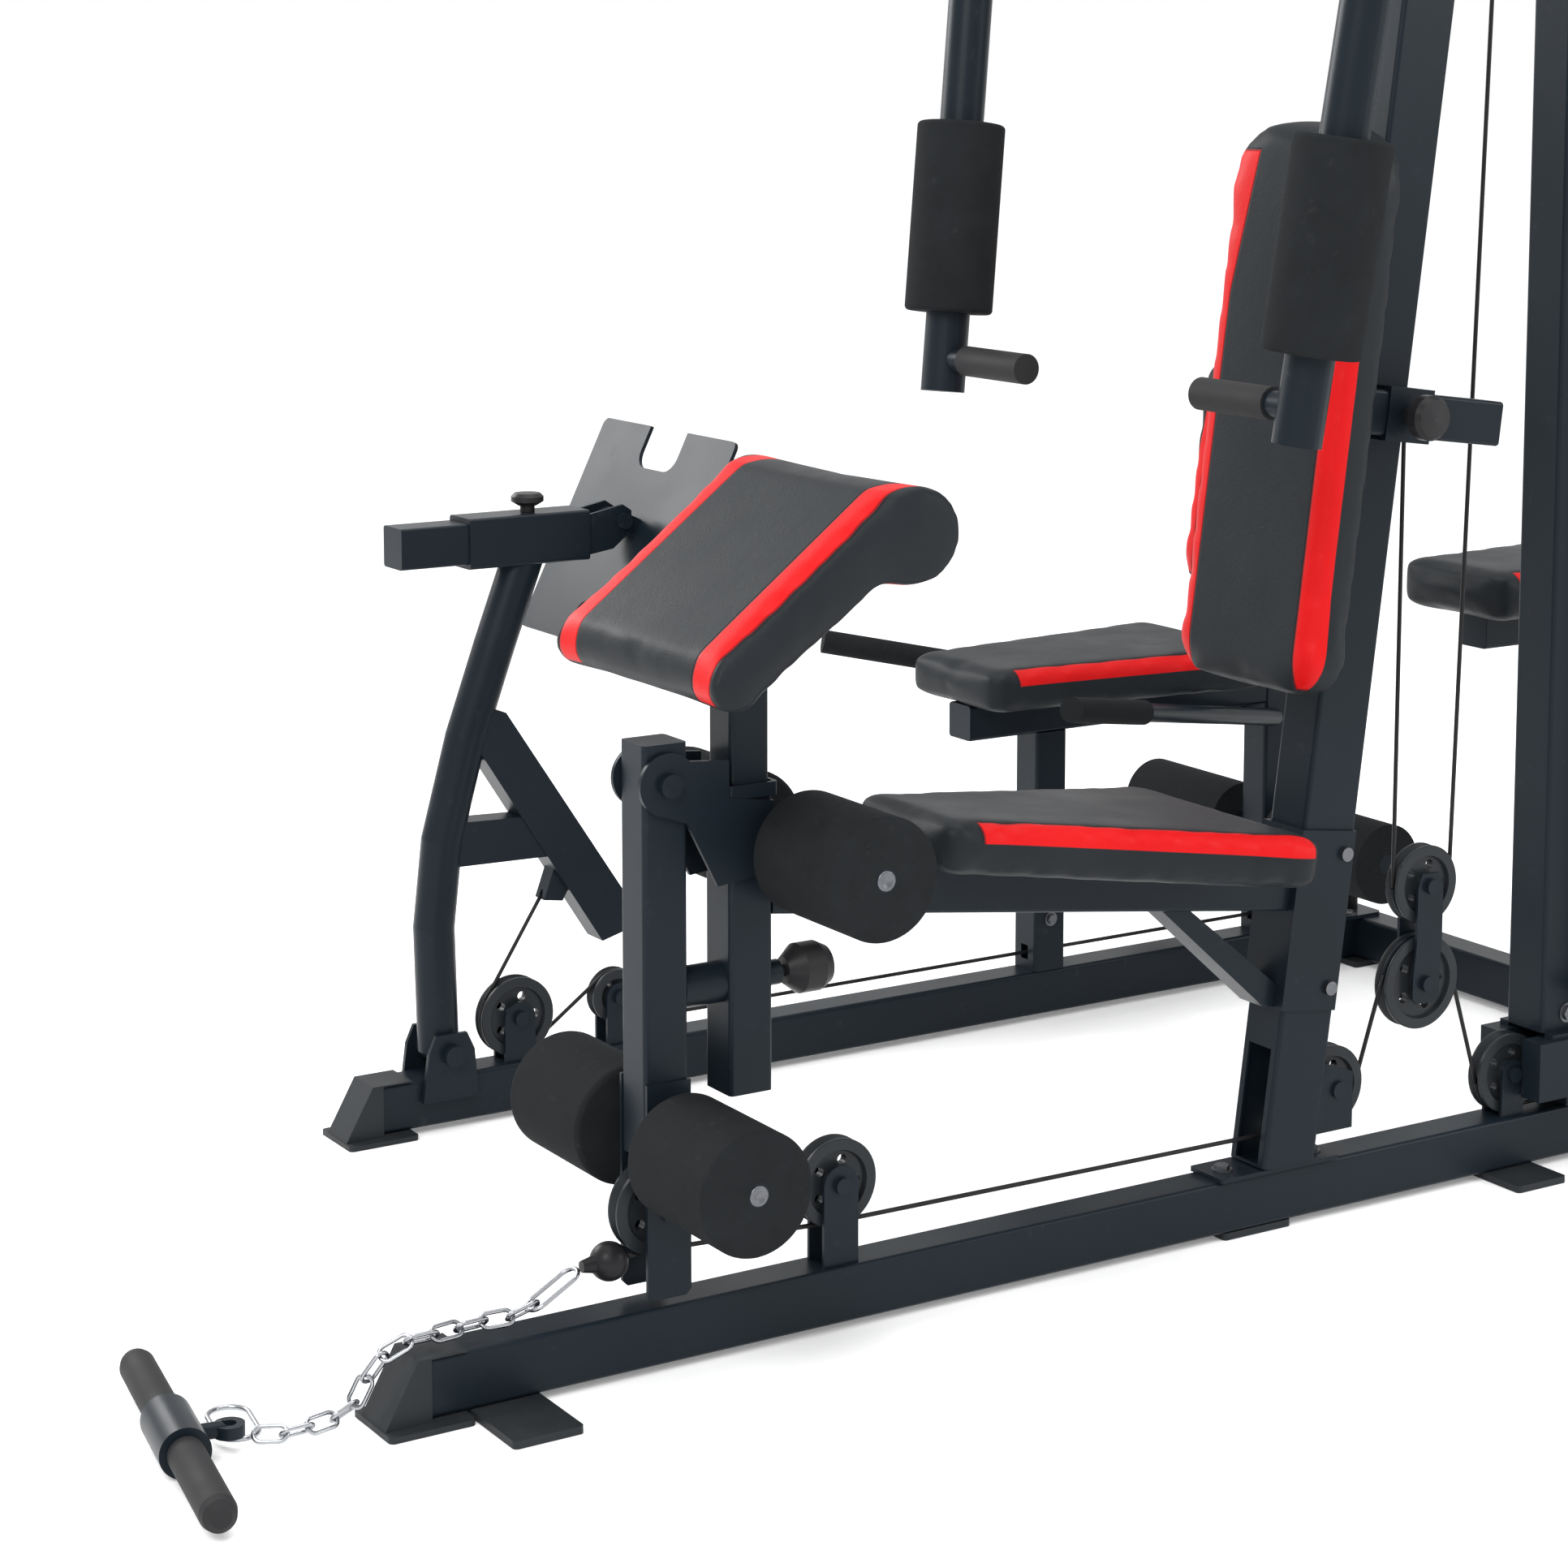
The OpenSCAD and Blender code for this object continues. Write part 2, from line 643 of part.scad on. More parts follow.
module stack_pulley() color(nylon) pulley(stack_pulley_at, pulley_r);

module front_rail_pulley() color(nylon) pulley(front_pulley_at, pulley_r);

module upright_pulley() color(nylon) pulley(upright_pulley_at, pulley_r);

module rear_rail_pulley() color(nylon) pulley(rear_pulley_at, rear_pulley_r);

module developer_pulley() color(nylon) pulley(developer_pulley_at, press_pulley_r);

// Two plates that join the floating pulleys, with the cable held in their grooves
module floating_block() color(navy) {
    for (s = [-1, 1]) side_plate(s * 15 - 2, s * 15 + 2, [[229, 232], [229, 255], [234, 300],
        [234, 363], [240, 378], [266, 378], [272, 363], [272, 300], [269, 255], [269, 232],
        [262, 226], [236, 226]]);
    for (at = [floating_upper_at, floating_lower_at]) {
        cross_bar(at, axle_r, -20, 20);
        for (s = [-1, 1]) cross_bar(at, 9, s * 20 - 3, s * 20 + 3);
    }
    groove_wrap(floating_upper_at, upper_pulley_r, 181, 359);
    groove_wrap(floating_lower_at, lower_pulley_r, 16, 164);
}

module floating_upper_pulley() color(nylon) pulley(floating_upper_at, upper_pulley_r);

module floating_lower_pulley() color(nylon) pulley(floating_lower_at, lower_pulley_r);

// ---------- cables ----------

// Distance of a cable from the axle of its pulley
function wrap_r(r) = r - groove - 1 + cable_d / 2 + 0.2;
function on_pulley(at, r, a) = [at.x + wrap_r(r) * cos(a), 0, at[1] + wrap_r(r) * sin(a)];

// A cable lying in part of a pulley's groove, from angle a0 to angle a1
module groove_wrap(at, r, a0, a1) {
    slack = 0.4;
    translate([at.x, 0, at[1]]) rotate([90, 0, 0]) rotate([0, 0, a0 + slack])
        rotate_extrude(angle = a1 - a0 - 2 * slack) translate([wrap_r(r), 0])
            circle(d = cable_d, $fn = 16);
}

module cable_runs() color(cable_black) {
    // low cable along the main rail and around the rear pulleys
    rod(on_pulley(front_pulley_at, pulley_r, 270), on_pulley(upright_pulley_at, pulley_r, 270),
        cable_d);
    groove_wrap(upright_pulley_at, pulley_r, 270, 340);
    groove_wrap(rear_pulley_at, rear_pulley_r, 190, 270);
    rod(on_pulley(rear_pulley_at, rear_pulley_r, 270),
        on_pulley(rear_pulley_at, rear_pulley_r, 270) + [66, 0, 0], cable_d);
    // high cable along the top beam
    rod(on_pulley(lat_pulley_at, pulley_r, 90), on_pulley(mid_pulley_at, pulley_r, 90), cable_d);
    rod(on_pulley(tower_pulley_at, pulley_r, 90), on_pulley(stack_pulley_at, pulley_r, 90),
        cable_d);
    groove_wrap(lat_pulley_at, pulley_r, 90, 180);
    groove_wrap(mid_pulley_at, pulley_r, 0, 90);
    groove_wrap(tower_pulley_at, pulley_r, 90, 180);
    groove_wrap(stack_pulley_at, pulley_r, 0, 90);
    // leg press cable along the far rail to its anchor stud
    bend = [-264, 0, 91];
    translate([0, far_y, 0]) {
        groove_wrap(press_pulley_at, press_pulley_r, 148, 305);
        rod(on_pulley(press_pulley_at, press_pulley_r, 305),
            on_pulley(guide_pulley_at, guide_r, 125), cable_d);
        groove_wrap(guide_pulley_at, guide_r, 52, 125);
        rod(on_pulley(guide_pulley_at, guide_r, 52), bend, cable_d);
        rod(bend + [1, 0, 0], [855, 0, 91], cable_d);
        translate([864, 0, rail_top + 5.2]) cylinder(r = 8.5, h = 28);
    }
}

// Slack part of the low cable between the front pulley and the ball stop
module row_cable() color(cable_black) {
    under = on_pulley(developer_pulley_at, press_pulley_r, 270);
    rod(on_pulley(front_pulley_at, pulley_r, 270) + [-0.2, 0, 0], under, cable_d);
    rod(under, [-794, 0, 118.6], cable_d);
    translate(under) sphere(r = cable_d / 2 + 0.1);
}

// Free strands that change length as the lat bar, block, stack and leg press move
module hanging_cables() color(cable_black) {
    rod(on_pulley(lat_pulley_at, pulley_r, 180) + [0, 0, -0.2], [-497.5, 0, 1865], cable_d);
    rod(on_pulley(stack_pulley_at, pulley_r, 0) + [0, 0, -0.2],
        [stack_x + 0.2, 0, stack_base_z + 12 * plate_t + 90.5], cable_d);
    rod(on_pulley(mid_pulley_at, pulley_r, 0) + [0, 0, -0.2],
        on_pulley(floating_upper_at, upper_pulley_r, 180) + [0, 0, 1], cable_d);
    rod(on_pulley(tower_pulley_at, pulley_r, 180) + [0, 0, -0.2],
        on_pulley(floating_upper_at, upper_pulley_r, 0) + [0, 0, 1], cable_d);
    rod(on_pulley(upright_pulley_at, pulley_r, 340) + [0.2, 0, 0.3],
        on_pulley(floating_lower_at, lower_pulley_r, 165) + [0, 0, -0.3], cable_d);
    rod(on_pulley(rear_pulley_at, rear_pulley_r, 190) + [-0.2, 0, 0.3],
        on_pulley(floating_lower_at, lower_pulley_r, 15) + [0, 0, -0.3], cable_d);
    translate([0, far_y, 0]) rod(on_pulley(press_pulley_at, press_pulley_r, 148)
        + [0.2, 0, 0.3], [-466, 0, 268], cable_d);
}

// ---------- low row attachment ----------

module ball_stop() color(foam_black) {
    difference() {
        translate([-815, 0, 118]) sphere(r = 20);
        translate([-813, 0, 118]) lay_x() cylinder(r = 2.7, h = 40);
    }
    translate([-832, 0, 118]) rotate([0, -90, 0]) cylinder(r1 = 9, r2 = 6, h = 14);
}

// One chain link of round wire, centred, long axis along x, flat in XY
module link(long, wide, wire) {
    straight = long - wide;
    r = (wide - wire) / 2;
    for (s = [-1, 1]) {
        translate([-straight / 2, s * r, 0]) rotate([0, 90, 0])
            cylinder(d = wire, h = straight, $fn = 16);
        translate([s * straight / 2, 0, 0]) rotate([0, 0, s > 0 ? -90 : 90])
            rotate_extrude(angle = 180) translate([r, 0]) circle(d = wire, $fn = 16);
    }
}

chain_pts = [[-898, 0, 90], [-926, 0, 83], [-954, 2, 83], [-982, 0, 83], [-1010, -4, 83],
    [-1038, -4, 83], [-1062, 2, 71], [-1076, 10, 48], [-1086, 16, 23], [-1108, 16, 13],
    [-1136, 9, 13], [-1163, 8, 13], [-1186, 20, 13]];

module row_chain() color(steel) {
    // snap hook on the ball stop
    a = [-851, 0, 117];
    b = [-906, 0, 86];
    v = unit(b - a);
    place((a + b) / 2, v, side_axis(v), cross(v, side_axis(v))) link(66, 28, 5);
    for (i = [0:len(chain_pts) - 2]) {
        p = chain_pts[i];
        q = chain_pts[i + 1];
        w = unit(q - p);
        e = side_axis(w);
        tilt = i % 2 == 0 ? 45 : -45;
        place((p + q) / 2, w, e, cross(w, e)) rotate([tilt, 0, 0]) link(norm(q - p) + 11, 20, 4.4);
    }
    // open ring at the handle end
    translate([-1190, 68, 8]) rotate([0, 0, 80]) link(86, 46, 5.5);
}

handle_mid = [-1263, 30, 25];
handle_dir = unit([-61, -348, 0]);

module row_swivel() color(navy) {
    e = side_axis(handle_dir);
    place(handle_mid - handle_dir * 44, e, cross(handle_dir, e), handle_dir) difference() {
        cylinder(r = 25, h = 88);
        translate([0, 0, -1]) cylinder(r = 14.06, h = 90);
    }
    eye = handle_mid + [50, -9, 0];
    difference() {
        union() {
            rod(handle_mid + [22, -4, 0], eye, 16);
            translate([eye.x, eye.y, 18]) cylinder(r = 15, h = 12);
        }
        translate([eye.x, eye.y, 0]) cylinder(r = 7, h = 60);
    }
}

module row_handle() color(foam_black) {
    e = side_axis(handle_dir);
    place(handle_mid, e, cross(handle_dir, e), handle_dir) rotate_extrude() polygon([
        [0, -195], [10, -195], [16, -190], [18, -182], [18, -46], [14, -46], [14, 46],
        [18, 46], [18, 182], [16, 190], [10, 195], [0, 195]]);
}

// ---------- leg press ----------

module leg_press_arm() color(navy) translate([0, far_y, 0]) {
    p = press_arm_pivot;
    pts = [[p.x - 2, 0, p[1]], [-612, 0, 250], [-600, 0, 356], [-566, 0, 480],
        [-526, 0, 590], [-484, 0, 700]];
    difference() {
        union() {
            cross_bar(p, 20, -27, 27);
            bent_rod(pts, 51);
            translate([-570, 0, 722]) lay_x() box_bar(62, 56, 164, 5);
            // diagonal brace, level link and cable clamp
            side_plate(-20, 20, [[-548, 520], [-560, 470], [-388, 205], [-352, 215],
                [-352, 258], [-520, 510]]);
            side_plate(-18, 18, [[-596, 325], [-592, 380], [-484, 376], [-440, 322]]);
            side_plate(-12, 12, [[-466, 266], [-440, 262], [-424, 290], [-450, 310]]);
        }
        cross_bar(p, 8.05, -60, 60);
        translate([-600, 0, 722]) lay_x() box_bar(50.6, 50.6, 240, 4);
        translate([-467, 0, 263]) rotate([0, 35, 0]) translate([0, 0, -10])
            cylinder(r = 4, h = 26);
    }
}

module leg_press_slide() color(navy) translate([0, far_y, 0]) {
    translate([-660, 0, 722]) lay_x() difference() {
        box_bar(50, 50, 262, 4);
        translate([0, 0, 4]) box_bar(44, 44, 300, 3);
    }
    difference() {
        for (s = [-1, 1]) side_plate(s * 22.5 - 2.5, s * 22.5 + 2.5, [[-405, 697.1],
            [-372, 702], [-346, 722], [-346, 748], [-358, 756], [-405, 746.9]]);
        cross_bar(foot_pivot, 6.05, -40, 40);
    }
    cross_bar(foot_pivot, 6, -30, 30);
    for (s = [-1, 1]) cross_bar(foot_pivot, 10, s * 28.5 - 3.5, s * 28.5 + 3.5);
}

// Foot plate with a wide notch in its top and bottom edge
module foot_plate() color(navy) translate([foot_pivot.x, far_y, foot_pivot[1]])
    rotate([0, 26, 0]) {
        translate([26, 0, -14]) rotate([0, 90, 0]) linear_extrude(5) difference() {
            soft_square(290, 330, 10);
            for (s = [-1, 1]) translate([s * 145, 0]) soft_square(110, 92, 22);
        }
        difference() {
            union() {
                cross_bar([0, 0], 13, -19.6, 19.6);
                translate([0, -19.6, -11]) cube([26.2, 39.2, 22]);
            }
            cross_bar([0, 0], 6.05, -40, 40);
        }
    }

module leg_press_knob() color(foam_black) translate([-478, far_y, 753.2]) {
    cylinder(r = 9, h = 8);
    translate([0, 0, 8]) rotate_extrude() polygon([[0, 0], [12, 0], [20, 5], [20, 11],
        [16, 15], [0, 16]]);
}

module leg_press_pulley() color(nylon) pulley(press_pulley_at, press_pulley_r, far_y);

module guide_pulley() color(nylon) pulley(guide_pulley_at, guide_r, far_y, 3);

// ---------- second and rear stations ----------

module second_seat_frame() color(navy) translate([0, far_y, 0]) {
    difference() {
        union() {
            translate([303, 0, rail_top]) box_tube(50, 50, 331);
            translate([back_post_x, 0, rail_top]) box_tube(50, 50, 800);
        }
        translate([200, -8, 82]) cube([600, 16, 20]);
    }
    translate([170, 0, 423]) lay_x() box_tube(48, 50, 505);
    translate([168, 0, 423]) lay_x() box_bar(47, 49, 2, 5);
    translate([back_post_x, 0, rail_top + 800]) box_bar(50, 50, 3, 5);
    cross_bar([back_post_x, 212], 12.5, -255, 255);
    side_plate(-40, 40, [[639.6, 600], [644.9, 640], [675, 640], [675, 600]]);
    side_plate(-40, 40, [[668.6, 820], [673.8, 860], [675, 860], [675, 820]]);
    for (s = [-1, 1]) {
        a = [back_post_x - 8, s * 24, 378];
        b = [140, s * 290, 490];
        rod(a, b, 25);
        rod(a + (b - a) * 0.68, b + unit(b - a) * 4, 33);
        difference() {
            cross_bar([back_post_x, 212], 55, s > 0 ? 55 : -255, s > 0 ? 255 : -55);
            cross_bar([back_post_x, 212], 12.6, -300, 300);
        }
    }
}

module second_pads() color(vinyl) translate([0, far_y, 0]) {
    translate([600, 0, 447.2]) seat_slab(458, 110, 152, seat_t);
    translate([605, 0, 728]) rotate([0, lean, 0]) rotate([0, 90, 0]) linear_extrude(50)
        soft_square(330, 150, 40);
}

module rear_seat_frame() color(navy) {
    y = 640;
    translate([rear_x + 25, y, rail_top]) box_tube(50, 50, 700);
    translate([rear_x + 25, y, rail_top + 700]) box_bar(50, 50, 3, 5);
    translate([930, y, 503]) lay_x() box_tube(50, 50, 379.8);
    translate([928, y, 503]) lay_x() box_bar(49, 49, 2, 5);
    side_plate(y - 3, y + 3, [[1180, 477.8], [1309.8, 477.8], [1309.8, 380]]);
}

module rear_seat_pad() color(vinyl) translate([1300, 640, 528.2])
    seat_slab(430, 110, 152, 70);

// ---------- fasteners ----------

module hex_bolt(at, dir, r = 9) {
    e = side_axis(dir);
    place(at, e, cross(dir, e), dir) {
        cylinder(r = r, h = 6, $fn = 6);
        cylinder(r = r + 3, h = 1.6);
    }
}

module frame_bolts() color(steel) {
    for (x = [-34, 94]) hex_bolt([x, 0, rail_top + 5], [0, 0, 1]);
    leaning() for (z = [214, 366], s = [-1, 1])
        place([60, s * 34.5, z], [1, 0, 0], [0, 0, -s], [0, s, 0]) cylinder(r = 8, h = 5);
    for (y = [-24, 24]) hex_bolt([cross_x - 15, far_y + y, rail_top + 5], [0, 0, 1]);
    for (x = [460, 892], s = [-1, 1]) hex_bolt([x, s * 30, 186], [0, s, 0]);
    for (x = [-20, 20]) hex_bolt([cross_x - 5 + x, 90, rail_top + 5], [0, 0, 1], 8);
    for (y = [50, 95]) hex_bolt([rear_x + 25, y, rail_top + 5], [0, 0, 1], 8);
    for (s = [-1, 1]) hex_bolt([303, far_y + s * 25, 140], [0, s, 0], 7);
}

main_rail();
far_rail();
cross_rails();
rail_feet();
main_upright();
seat_beam();
front_post();
top_beam();
tower_frame();
shrouds();
guide_rods();
stack_bumpers();
resting_stack();
lifted_stack();
selector_pin();
main_seat_pad();
backrest_pad();
backrest_slide();
backrest_knob();
preacher_post();
preacher_pad();
preacher_knob();
leg_developer();
upper_rollers();
lower_rollers();
press_frame();
near_arm();
far_arm();
near_arm_foam();
far_arm_foam();
lat_bar();
lat_pulley();
mid_pulley();
tower_pulley();
stack_pulley();
front_rail_pulley();
upright_pulley();
rear_rail_pulley();
developer_pulley();
floating_block();
floating_upper_pulley();
floating_lower_pulley();
cable_runs();
row_cable();
hanging_cables();
ball_stop();
row_chain();
row_swivel();
row_handle();
leg_press_arm();
leg_press_slide();
foot_plate();
leg_press_knob();
leg_press_pulley();
guide_pulley();
second_seat_frame();
second_pads();
rear_seat_frame();
rear_seat_pad();
frame_bolts();
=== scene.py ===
import json
import math
import bpy
import bmesh
from mathutils import Matrix, Vector


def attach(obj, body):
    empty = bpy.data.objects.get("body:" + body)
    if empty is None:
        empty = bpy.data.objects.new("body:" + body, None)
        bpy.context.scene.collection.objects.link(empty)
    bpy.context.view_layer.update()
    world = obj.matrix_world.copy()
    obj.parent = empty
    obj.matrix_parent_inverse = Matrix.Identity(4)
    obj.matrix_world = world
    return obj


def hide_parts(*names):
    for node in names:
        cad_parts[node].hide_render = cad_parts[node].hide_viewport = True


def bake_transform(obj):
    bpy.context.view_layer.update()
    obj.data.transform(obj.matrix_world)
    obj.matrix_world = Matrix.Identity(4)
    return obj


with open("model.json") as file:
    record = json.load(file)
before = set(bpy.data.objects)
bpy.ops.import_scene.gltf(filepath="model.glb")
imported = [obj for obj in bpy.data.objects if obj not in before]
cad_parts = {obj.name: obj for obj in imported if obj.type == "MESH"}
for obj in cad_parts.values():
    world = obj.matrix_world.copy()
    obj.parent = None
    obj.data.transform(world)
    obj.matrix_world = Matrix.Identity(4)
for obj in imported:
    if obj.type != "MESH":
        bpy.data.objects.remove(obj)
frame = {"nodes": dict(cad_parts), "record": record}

nodes = frame["nodes"]
scene = bpy.context.scene
FAR = 0.81          # the leg press station's centre plane
SEAT_CORNER = 0.022
SHRINK = 0.0055     # room that a cushion swells into
CABLE_R = 0.0025
GROOVE = 0.0033     # how deep a cable lies in its pulley
PULLEY_R = 0.0475
LEAN = math.radians(7.5)
SIN, COS = math.sin(LEAN), math.cos(LEAN)



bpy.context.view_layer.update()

# ---------- camera ----------
cam_data = bpy.data.cameras.new("camera")
cam = bpy.data.objects.new("camera", cam_data)
scene.collection.objects.link(cam)
cam.location = (-2.3921, -2.8792, 1.3245)
yaw, pitch = math.radians(31.762), math.radians(7.161)
level = math.cos(pitch)
look = Vector((math.sin(yaw) * level, math.cos(yaw) * level, -math.sin(pitch)))
cam.rotation_euler = look.to_track_quat("-Z", "Y").to_euler()
cam_data.sensor_width = 36
cam_data.lens = 36 * 4205.3 / 1932
cam_data.shift_y = -0.2
cam_data.clip_start, cam_data.clip_end = 0.05, 60
scene.camera = cam


# ---------- materials ----------
class Shader:
    """A small node-tree builder around one principled shader."""

    def __init__(self, name, rough=0.5, metal=0.0, spec=0.5, coat=0.0):
        self.mat = bpy.data.materials.new(name)
        self.mat.use_nodes = True
        self.tree = self.mat.node_tree
        self.tree.nodes.clear()
        self.out = self.tree.nodes.new("ShaderNodeOutputMaterial")
        self.bsdf = self.tree.nodes.new("ShaderNodeBsdfPrincipled")
        self.link(self.bsdf.outputs[0], self.out.inputs[0])
        self.bsdf.inputs["Roughness"].default_value = rough
        self.bsdf.inputs["Metallic"].default_value = metal
        self.bsdf.inputs["Specular IOR Level"].default_value = spec
        self.bsdf.inputs["Coat Weight"].default_value = coat
        self.coord = self.tree.nodes.new("ShaderNodeTexCoord").outputs["Object"]
        self.normal = None

    def link(self, a, b):
        self.tree.links.new(a, b)

    def put(self, socket, value):
        if hasattr(value, "links"):
            self.link(value, socket)
        else:
            socket.default_value = value

    def noise(self, scale, detail=4.0, rough=0.55):
        n = self.tree.nodes.new("ShaderNodeTexNoise")
        n.inputs["Scale"].default_value = scale
        n.inputs["Detail"].default_value = detail
        n.inputs["Roughness"].default_value = rough
        self.link(self.coord, n.inputs["Vector"])
        return n.outputs[0]

    def cells(self, scale, feature="F1"):
        n = self.tree.nodes.new("ShaderNodeTexVoronoi")
        n.feature = feature
        n.inputs["Scale"].default_value = scale
        self.link(self.coord, n.inputs["Vector"])
        return n.outputs["Distance"]

    def math(self, op, a, b=0.0):
        n = self.tree.nodes.new("ShaderNodeMath")
        n.operation = op
        self.put(n.inputs[0], a)
        self.put(n.inputs[1], b)
        return n.outputs[0]

    def span(self, value, a, b, lo=0.0, hi=1.0):
        n = self.tree.nodes.new("ShaderNodeMapRange")
        n.inputs["From Min"].default_value = a
        n.inputs["From Max"].default_value = b
        n.inputs["To Min"].default_value = lo
        n.inputs["To Max"].default_value = hi
        self.link(value, n.inputs["Value"])
        return n.outputs[0]

    def mix(self, fac, a, b):
        n = self.tree.nodes.new("ShaderNodeMix")
        n.data_type = "RGBA"
        self.put(n.inputs[0], fac)
        self.put(n.inputs[6], a if hasattr(a, "links") else (*a, 1))
        self.put(n.inputs[7], b if hasattr(b, "links") else (*b, 1))
        return n.outputs[2]

    def color(self, value):
        self.link(value, self.bsdf.inputs["Base Color"])

    def rough(self, value):
        self.link(value, self.bsdf.inputs["Roughness"])

    def bump(self, height, strength, distance):
        n = self.tree.nodes.new("ShaderNodeBump")
        n.inputs["Strength"].default_value = strength
        n.inputs["Distance"].default_value = distance
        self.link(height, n.inputs["Height"])
        if self.normal is not None:
            self.link(self.normal, n.inputs["Normal"])
        self.normal = n.outputs[0]
        self.link(self.normal, self.bsdf.inputs["Normal"])

    def axes(self):
        n = self.tree.nodes.new("ShaderNodeSeparateXYZ")
        self.link(self.coord, n.inputs[0])
        return n.outputs


def paint(name, base, high, rough=0.34):
    s = Shader(name, rough, 0.0, 0.11, 0.02)
    s.bsdf.inputs["Coat Roughness"].default_value = 0.22
    cloud = s.noise(5.0, 5.0)
    fine = s.noise(900.0, 2.0)
    dust = s.span(s.noise(34.0, 8.0, 0.7), 0.62, 0.82)
    body = s.mix(cloud, base, high)
    s.color(s.mix(s.math("MULTIPLY", dust, 0.16), body, (0.10, 0.11, 0.12)))
    s.rough(s.math("ADD", s.span(cloud, 0.3, 0.7, rough - 0.05, rough + 0.06),
                   s.math("MULTIPLY", dust, 0.14)))
    s.bump(fine, 0.16, 0.0004)
    s.bump(s.noise(160.0, 3.0), 0.10, 0.0006)
    return s.mat


def bright(name, base, rough, metal=1.0, streak=220.0):
    s = Shader(name, rough, metal, 0.5)
    smear = s.noise(streak, 6.0, 0.65)
    spots = s.span(s.noise(70.0, 8.0, 0.7), 0.60, 0.78)
    dark = tuple(c * 0.55 for c in base)
    s.color(s.mix(s.math("MULTIPLY", spots, 0.5), base, dark))
    s.rough(s.span(smear, 0.3, 0.75, rough * 0.7, rough * 1.7))
    s.bump(smear, 0.08, 0.0003)
    return s.mat


def plastic(name, base, rough, grain=700.0, depth=0.0004, spec=0.16):
    s = Shader(name, rough, 0.0, spec)
    cloud = s.noise(18.0, 6.0)
    s.color(s.mix(cloud, base, tuple(min(1.0, c * 1.7 + 0.004) for c in base)))
    s.rough(s.span(cloud, 0.3, 0.7, rough - 0.07, rough + 0.08))
    s.bump(s.noise(grain, 3.0), 0.22, depth)
    return s.mat


def foam(name, base):
    s = Shader(name, 0.86, 0.0, 0.06)
    cloud = s.noise(26.0, 7.0)
    pores = s.cells(620.0)
    wear = s.span(s.noise(60.0, 8.0, 0.72), 0.60, 0.80)
    body = s.mix(cloud, base, tuple(c * 1.8 + 0.004 for c in base))
    s.color(s.mix(s.math("MULTIPLY", wear, 0.22), body, (0.075, 0.078, 0.08)))
    s.rough(s.span(cloud, 0.3, 0.7, 0.80, 0.93))
    s.bump(pores, 0.34, 0.0007)
    s.bump(s.noise(45.0, 5.0), 0.22, 0.0022)
    return s.mat


def vinyl(name, stripe=None):
    """Charcoal grained vinyl; stripe(shader) returns a mask and a seam profile."""
    s = Shader(name, 0.42, 0.0, 0.10, 0.01)
    s.bsdf.inputs["Coat Roughness"].default_value = 0.35
    cloud = s.noise(9.0, 6.0)
    grain = s.cells(560.0, "SMOOTH_F1")
    crease = s.noise(24.0, 6.0, 0.6)
    body = s.mix(cloud, (0.009, 0.011, 0.013), (0.016, 0.019, 0.022))
    if stripe:
        mask, seam = stripe(s)
        red = s.mix(cloud, (0.46, 0.004, 0.005), (0.56, 0.007, 0.008))
        body = s.mix(mask, body, red)
        body = s.mix(s.math("MULTIPLY", seam, 0.65), body, (0.008, 0.006, 0.007))
        s.bump(s.math("SUBTRACT", 1.0, seam), 0.75, 0.0018)
    s.color(body)
    s.rough(s.span(cloud, 0.3, 0.7, 0.40, 0.53))
    s.bump(grain, 0.26, 0.0006)
    s.bump(crease, 0.16, 0.0035)
    return s.mat


def lean_axes(s, x0=0.0, z0=0.068):
    """Coordinates along and across the leaning upright."""
    x, y, z = s.axes()
    up = s.math("SUBTRACT", z, z0)
    fwd = s.math("SUBTRACT", x, x0)
    lx = s.math("SUBTRACT", s.math("MULTIPLY", fwd, COS), s.math("MULTIPLY", up, SIN))
    lz = s.math("ADD", s.math("MULTIPLY", fwd, SIN), s.math("MULTIPLY", up, COS))
    return lx, y, lz


def band(s, value, a, b, soft=0.0006):
    """1 between a and b, and a narrow line at each of the two edges."""
    up = s.span(value, a - soft, a + soft)
    down = s.span(value, b - soft, b + soft, 1.0, 0.0)
    edge_a = s.span(s.math("ABSOLUTE", s.math("SUBTRACT", value, a)), 0.0006, 0.0022, 1.0, 0.0)
    edge_b = s.span(s.math("ABSOLUTE", s.math("SUBTRACT", value, b)), 0.0006, 0.0022, 1.0, 0.0)
    return s.math("MULTIPLY", up, down), s.math("MAXIMUM", edge_a, edge_b)


def stripe_of(inner, outer, along, a, b):
    """Red bands at both sides: inner and outer are distances from the centre line."""
    def build(s):
        across, length, face = along(s)
        m1, e1 = band(s, across, inner, outer)
        m2, e2 = band(s, length, a, b)
        mask = s.math("MULTIPLY", m1, m2)
        near1 = s.math("MULTIPLY", e1, s.span(length, a - 0.001, a))
        near1 = s.math("MULTIPLY", near1, s.span(length, b, b + 0.001, 1.0, 0.0))
        near2 = s.math("MULTIPLY", e2, s.span(across, inner - 0.001, inner))
        near2 = s.math("MULTIPLY", near2, s.span(across, outer, outer + 0.001, 1.0, 0.0))
        seam = s.math("MAXIMUM", near1, near2)
        return s.math("MULTIPLY", mask, face), s.math("MULTIPLY", seam, face)
    return build


